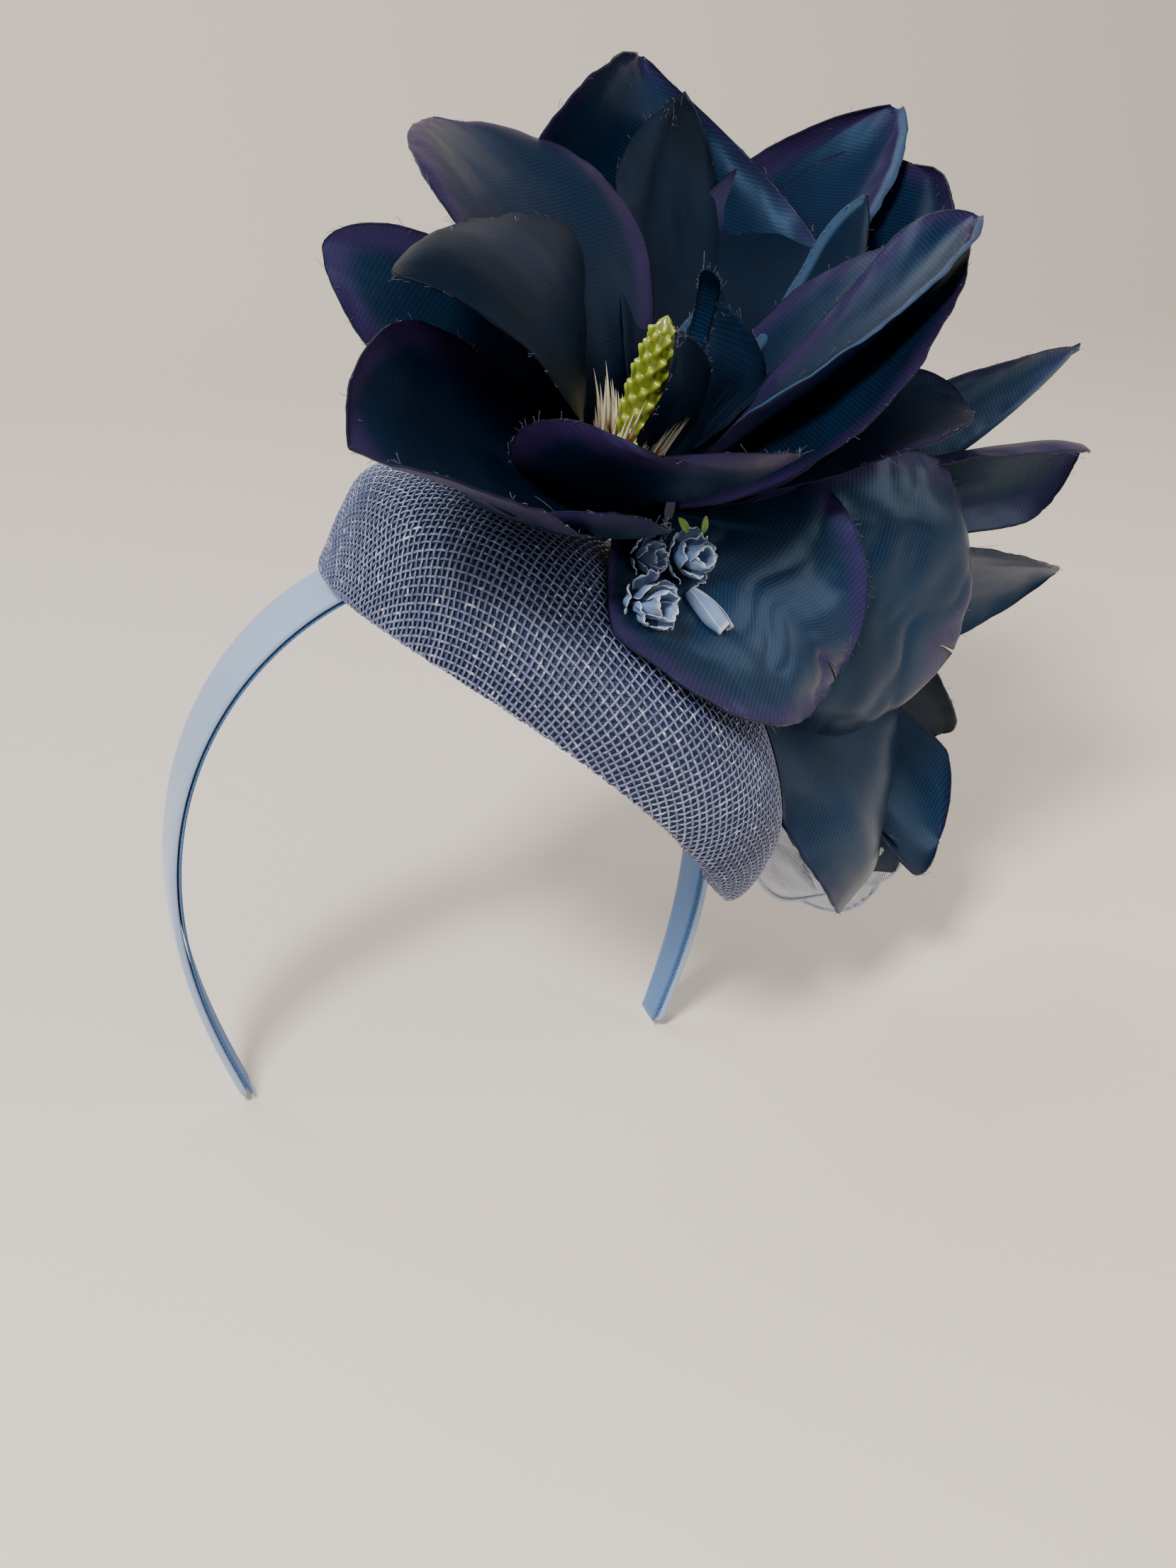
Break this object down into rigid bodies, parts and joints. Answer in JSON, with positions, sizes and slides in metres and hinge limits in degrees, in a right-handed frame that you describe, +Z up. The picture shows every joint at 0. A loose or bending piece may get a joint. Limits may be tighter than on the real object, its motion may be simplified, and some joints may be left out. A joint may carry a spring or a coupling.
{
  "type": "pillbox hat",
  "caption": "Small woven straw pillbox hat on a satin headband, worn tilted to one side and trimmed with big silk magnolias, paper roses and organza loops.",
  "frame": {"origin": "the inner apex of the headband, on its middle line, where it rests on top of the head", "axes": "+Z up, out of the top of the head; X across the head from ear to ear, +X towards the wearer's left, where the crown and flowers sit; -Y towards the wearer's front"},
  "size_m": [0.2955, 0.1829, 0.2803],
  "materials": {
    "straw": "woven straw cloth, stiffened, with glossy lilac-blue strands over a dark under layer",
    "satin": "pale blue ribbed satin with a soft sheen",
    "ribbon": "matt mid-blue ribbon with a picot edge",
    "silk_navy": "stiffened silk twill, navy to teal, shaded violet at the edges",
    "silk_plum": "stiffened silk twill, grey-blue to plum",
    "organza": "pale stiff organza with a thick edge",
    "paper": "crinkled grey-blue paper",
    "pistil": "glossy bumpy green",
    "stamen": "cream with pink-red tips"
  },
  "bodies": {
    "root": {"headband": "satin", "headband_lining": "ribbon", "crown": "straw", "calyx_upper": "silk_plum", "calyx_lower": "silk_plum", "pistil": "pistil", "petal_front": "silk_navy", "rose_left": "paper", "rose_right": "paper", "rose_behind": "paper", "rose_bud": "paper", "petal_front_lower": "silk_navy", "petal_apron": "silk_navy", "petal_left_cup": "silk_navy", "petal_left_inner": "silk_navy", "petal_left_outer": "silk_navy", "petal_bud_front": "silk_navy", "petal_bud_side": "silk_navy", "petal_bud_tip": "silk_navy", "petal_upper_left": "silk_navy", "petal_top_inner": "silk_navy", "petal_top": "silk_navy", "petal_right_slim": "silk_navy", "petal_right": "silk_navy", "petal_upper_right": "silk_navy", "petal_right_lower": "silk_navy", "petal_right_back": "silk_navy", "petal_right_under": "silk_navy", "leaf_heart_front": "silk_plum", "leaf_heart_back": "silk_plum", "leaf_right_top": "silk_plum", "leaf_right_middle": "silk_plum", "leaf_right_low": "silk_plum", "leaf_down_front": "silk_plum", "leaf_down_right": "silk_plum", "leaf_down_back": "silk_plum", "leaf_down_small": "silk_plum", "organza_loop_front": "organza", "organza_loop_back": "organza", "stamens": "stamen"}
  },
  "joints": []
}
